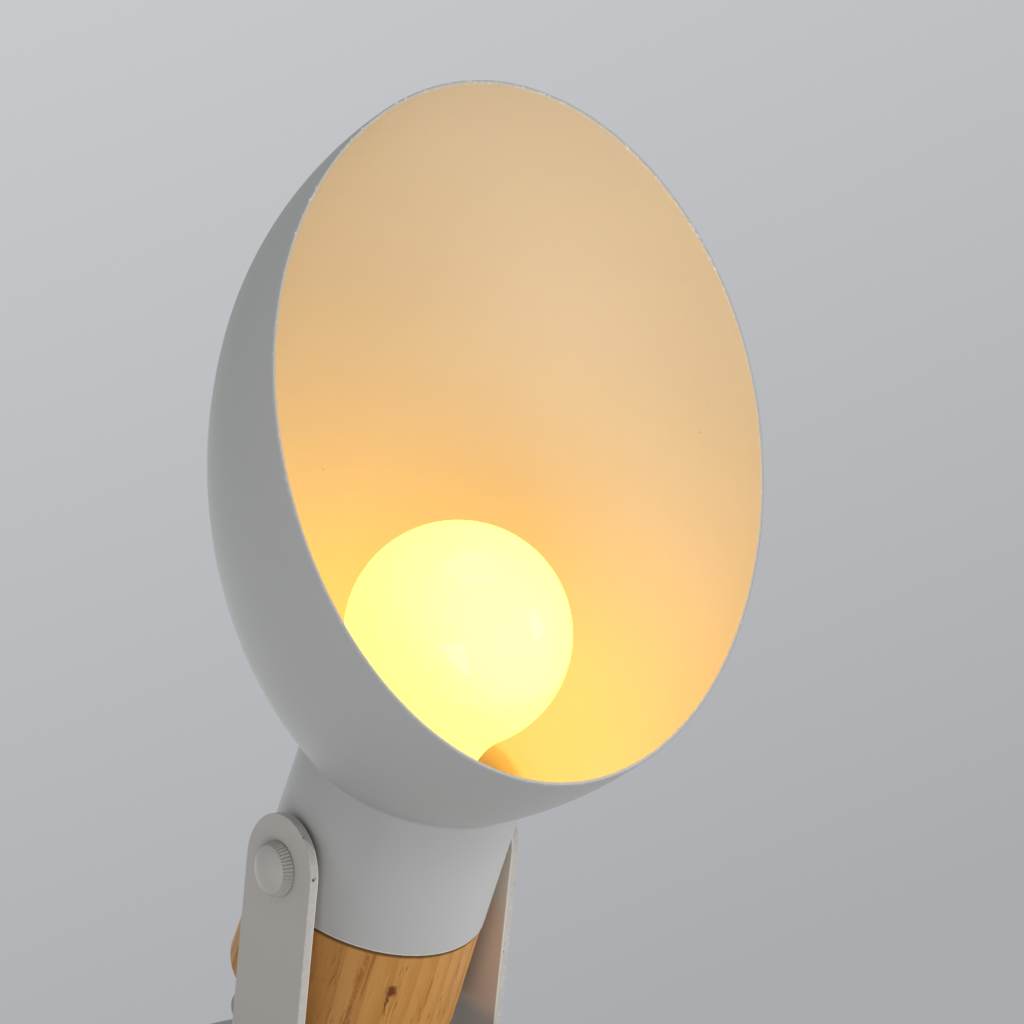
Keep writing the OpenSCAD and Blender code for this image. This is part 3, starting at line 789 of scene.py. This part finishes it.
def nut_section(bm):
    """Half section of the nut: its foot, the knurled flank, the dome and the blind bore."""
    band = band_high - band_low
    flank_z = (band_low + band_high) / 2 - (nut_r ** 2 - shoulder_r ** 2) / 2 / band
    dome = nut_height - band_high
    dome_z = nut_height - (shoulder_r ** 2 + dome ** 2) / 2 / dome
    corner = bm.verts.new((bore_r, 0, 0))
    corner = line_to(bm, corner, nut_r - foot_round, 0)
    corner = arc_to(bm, corner, (nut_r - foot_round, foot_round), 90, 3)
    corner = line_to(bm, corner, nut_r, band_low)
    corner = round_between(bm, corner, shoulder_r, band_high, flank_z, 8)
    corner = round_between(bm, corner, 0, nut_height, dome_z, 14)
    corner.co.x = 0
    corner = bm.verts.new((0, 0, bore_depth))
    corner = line_to(bm, corner, bore_r, bore_depth)
    line_to(bm, corner, bore_r, 0)


print("nut", 2 * nut_r, "mm wide and", nut_height, "mm high")

# %% Thumb nuts
ridge_count, steps_per_ridge = 46, 8
groove_depth = 0.34
foot_fade, top_fade = 0.3, 0.35
ridge_top = band_high + 0.15
ridges_from_r = shoulder_r - 0.3
off_arm = 0.1


def knurl(vertex):
    """Moves a vertex of the flank in, by a wave that repeats once a ridge."""
    radius = math.hypot(vertex.co.x, vertex.co.y)
    if radius < ridges_from_r or vertex.co.z < 0.01:
        return
    at_foot = min(1, vertex.co.z / foot_fade)
    at_top = min(1, max(0, (ridge_top - vertex.co.z) / top_fade))
    phase = ridge_count * math.atan2(vertex.co.y, vertex.co.x) / 2
    inwards = groove_depth * abs(math.sin(phase)) ** 1.5 * at_foot * at_top
    vertex.co.x *= 1 - inwards / radius
    vertex.co.y *= 1 - inwards / radius


def thumb_nut(name, side, body, node):
    """A nut on the outside of one arm: side is -1 on the left and 1 on the right."""
    bm = bmesh.new()
    nut_section(bm)
    turn(bm, ridge_count * steps_per_ridge)
    for vertex in bm.verts:
        knurl(vertex)
    place = (head_frame @ Matrix.Rotation(math.radians(90 * side), 4, "Y")
             @ Matrix.Translation((0, 0, arm_outer + off_arm)))
    piece(name, bm, [bracket_face], body, [node], place)


thumb_nut("knurled_nut_left", -1, "left_thumb_nut", "left_thumb_nut")
thumb_nut("knurled_nut_right", 1, "right_thumb_nut", "right_thumb_nut")

# %% [markdown]
# Metal fittings
#
# The crossbar, studs and screws are zinc plated, the hollow bolts and terminals are brass, and
# the two ball nuts have a dark nickel skin. Plain metal looks like plastic, so each gets what
# tells the eye that it is metal: uneven roughness, faint drawing lines, and stains.

# %% Finishes of the metals
def metal_finish(name, colour, stain, roughness, grain=(1, 1, 1)):
    """Plated or plain metal with drawing lines, a faint crystal pattern and stains."""
    metal = Finish(name, Metallic=1.0)
    drawn = metal.cloud(0.6, metal.vector("MULTIPLY", metal.place, grain), detail=4, rough=0.6)
    cells = metal.node("ShaderNodeTexVoronoi", Vector=metal.place, Scale=1 / 2.4, output="Color")
    spangle, _, _ = metal.parts(cells)
    stained = metal.step(metal.cloud(6, detail=4, rough=0.6), 0.52, 0.74)
    tone = metal.mix(colour, stain, stained * 0.7)
    tone = metal.mix(tone, tuple(0.86 * c for c in colour), spangle * 0.35)
    rough = roughness + 0.10 * drawn + 0.07 * spangle + 0.12 * stained
    return metal.wear(Base_Color=tone, Roughness=rough, Normal=metal.bump(drawn, 0.02, 0.4))


zinc = metal_finish("zinc_plate", colour=(0.62, 0.63, 0.65), stain=(0.47, 0.47, 0.46),
                    roughness=0.26)
brass = metal_finish("plain_brass", colour=(0.78, 0.58, 0.27), stain=(0.50, 0.33, 0.13),
                     roughness=0.24)
nickel = metal_finish("dark_nickel", colour=(0.33, 0.35, 0.32), stain=(0.19, 0.20, 0.185),
                      roughness=0.30, grain=(1, 0.12, 1))
print("metals:", zinc.name, brass.name, nickel.name)

# %% [markdown]
# Moulded and fired pieces
#
# Nylon is milky and a little uneven, the white bulb holder is smoother with a fine moulded
# texture, the ceramic core is matt with dark grains, and the bulb's insulator is black glass.

# %% Finishes of the moulded pieces
def moulded_finish(name, colour, shade, roughness, texture, grains=0.0):
    """A smooth material with slow changes of tone, a fine skin and a share of dark grains."""
    plastic = Finish(name, Specular_IOR_Level=0.5)
    flow = plastic.cloud(9, detail=3)
    skin = plastic.cloud(texture, detail=2)
    grain = plastic.step(plastic.cloud(0.5, detail=1), 0.68, 0.74)
    tone = plastic.mix(colour, shade, flow)
    tone = plastic.mix(tone, tuple(0.4 * c for c in colour), grain * grains)
    return plastic.wear(Base_Color=tone, Roughness=roughness + 0.12 * flow,
                        Normal=plastic.bump(skin, 0.015, 0.4))


nylon = moulded_finish("natural_nylon", colour=(0.74, 0.73, 0.66), shade=(0.66, 0.65, 0.57),
                       roughness=0.38, texture=0.8)
holder_white = moulded_finish("holder_white", colour=(0.72, 0.71, 0.68), shade=(0.66, 0.65, 0.62),
                              roughness=0.24, texture=0.5)
ceramic = moulded_finish("white_ceramic", colour=(0.76, 0.74, 0.69), shade=(0.68, 0.65, 0.59),
                         roughness=0.62, texture=0.3, grains=0.5)
black_glass = moulded_finish("black_glass", colour=(0.025, 0.025, 0.028),
                             shade=(0.05, 0.05, 0.055), roughness=0.10, texture=1.2)
print("moulded:", nylon.name, holder_white.name, ceramic.name, black_glass.name)

# %% [markdown]
# The lit bulb
#
# The globe is frosted glass with the lit board inside. Frosting spreads the light until the whole
# globe glows evenly, so the glass itself is the light source here. Its warm yellow is weaker on
# the half towards the cup, but for the throat, and a thin gloss keeps the studio's reflections.

# %% Glowing glass
glow_strength = 5.9
half_low, half_high = 30.0, 54.0
throat_low, throat_high = 26.0, 33.0


def glowing_glass():
    """Frosted glass that gives light, less on its lower half and full again at the throat."""
    glass = Finish("lit_glass", Roughness=0.10, Emission_Strength=glow_strength,
                   Specular_IOR_Level=0.5)
    at = glass.frame_of(**HEAD)
    _, _, height = glass.parts(at)
    frost = glass.cloud(0.25, at, detail=1)
    broad = glass.cloud(16, at)
    lower_half = 1 - glass.step(height, half_low, half_high)
    throat = 1 - glass.step(height, throat_low, throat_high)
    glow = glass.mix((1.0, 0.49, 0.034), (1.0, 0.51, 0.038), broad)
    glow = glass.mix(glow, (0.44, 0.21, 0.046), lower_half)
    glow = glass.mix(glow, (1.0, 0.47, 0.055), throat)
    tone = glass.mix((0.42, 0.41, 0.38), (0.46, 0.45, 0.42), frost)
    return glass.wear(Base_Color=tone, Emission_Color=glow, Normal=glass.bump(frost, 0.006, 0.2))


lit_glass = glowing_glass()
print("the globe gives the light, at strength", glow_strength)

# %% Lit board
chips_low, chips_high = 22.8, 23.0


def lit_board():
    """The white board inside the bulb, with yellow chips that glow on its top."""
    board = Finish("lit_board", Roughness=0.5, Emission_Strength=1.0)
    at = board.frame_of(**HEAD)
    _, _, height = board.parts(at)
    chip = board.step(height, chips_low, chips_high)
    mask = board.cloud(1.2, at, detail=3)
    tone = board.mix((0.78, 0.78, 0.74), (0.85, 0.62, 0.16), chip)
    tone = board.mix(tone, (0.55, 0.56, 0.55), mask * 0.3)
    return board.wear(Base_Color=tone, Emission_Color=board.mix((0, 0, 0), (1.0, 0.6, 0.22), chip))


board_finish = lit_board()
print("board's chips glow above", chips_low, "mm")

# %% [markdown]
# Screw threads
#
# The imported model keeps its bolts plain. A thread is a small ridge that is spun while it climbs,
# one pitch each turn. The hollow bolt that carries the bracket gets one here, with its crests at
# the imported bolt's size, and its core is thinner by the depth of the thread.

# %% Thread
sunk_in_core = 0.1
ridge_share = 0.84
crest_share = 0.15
steps_per_turn = 32


def thread_ridge(bm, root_r, crest_r, pitch, low, high):
    """A helical ridge between two heights, closed at both ends."""
    half = pitch * ridge_share / 2
    turns = (high - low - 2 * half) / pitch
    steps = int(turns * steps_per_turn)
    foot_r = root_r - sunk_in_core
    ring = [bm.verts.new((radius, 0, low + rise * half)) for radius, rise in (
        (foot_r, 0), (foot_r, 2), (crest_r, 1 + crest_share), (crest_r, 1 - crest_share))]
    edges = [bm.edges.new(pair) for pair in zip(ring, ring[1:] + ring[:1])]
    spun = bmesh.ops.spin(bm, geom=ring + edges, cent=(0, 0, 0), axis=(0, 0, 1),
                          angle=math.tau * turns, dvec=(0, 0, pitch * turns / steps), steps=steps)
    ends = edges + [e for e in spun["geom_last"] if isinstance(e, bmesh.types.BMEdge)]
    bmesh.ops.holes_fill(bm, edges=ends, sides=8)


print("the ridge fills", ridge_share, "of its pitch")

# %% Threaded bolt
bolt_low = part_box("swivel_nipple")[1].y / -MM
bolt_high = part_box("swivel_nipple")[0].y / -MM
bolt_bore_r, bolt_core_r, bolt_crest_r = 3.75, 4.6, 5.0
bolt_pitch = 1.0
bolt_sides = 48

bolt = bmesh.new()
bolt_foot = bolt.verts.new((bolt_bore_r, 0, bolt_low))
bolt_corner = line_to(bolt, bolt_foot, bolt_core_r, bolt_low)
bolt_corner = line_to(bolt, bolt_corner, bolt_core_r, bolt_high)
bolt_corner = line_to(bolt, bolt_corner, bolt_bore_r, bolt_high)
bolt.edges.new((bolt_corner, bolt_foot))
turn(bolt, bolt_sides)
thread_ridge(bolt, bolt_core_r, bolt_crest_r, bolt_pitch, bolt_low, bolt_high)
bmesh.ops.recalc_face_normals(bolt, faces=bolt.faces)
piece("threaded_swivel_bolt", bolt, [brass], "wall_base", ["swivel_nipple"], wall_frame)

# %% [markdown]
# Everything else
#
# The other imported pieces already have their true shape. Those that show their edges are copied
# with a small rounding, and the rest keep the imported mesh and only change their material.

# %% Rounded copies
for node, name, finish, body, slot, width in (
        ("wall_strap", "plated_crossbar", zinc, "wall_base", "steel", 0.2),
        ("terminal_block", "moulded_terminal_block", nylon, "wall_base", "nylon", 0.25),
        ("inner_locknut", "brass_locknut", brass, "wall_base", "brass", 0.15),
        ("holder_skirt", "moulded_skirt", holder_white, "head", "holder_plastic", 0.25),
        ("cord_gland", "moulded_gland", holder_white, "head", "holder_plastic", 0.2)):
    eased(node, name, [finish], body, width)

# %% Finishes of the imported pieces
by_slot = {"steel": zinc, "brass": brass, "nylon": nylon, "holder_plastic": holder_white,
           "ceramic": ceramic, "black_glass": black_glass, "dark_nickel": nickel,
           "frosted_glass": lit_glass, "led": board_finish, "bracket_paint": bracket_face}
slot_of = {part["node"]: part["material_slot"] for part in frame["record"]["subparts"]}
for node, cad_piece in frame["nodes"].items():
    if slot_of[node] in by_slot:
        cad_piece.data.materials[0] = by_slot[slot_of[node]]
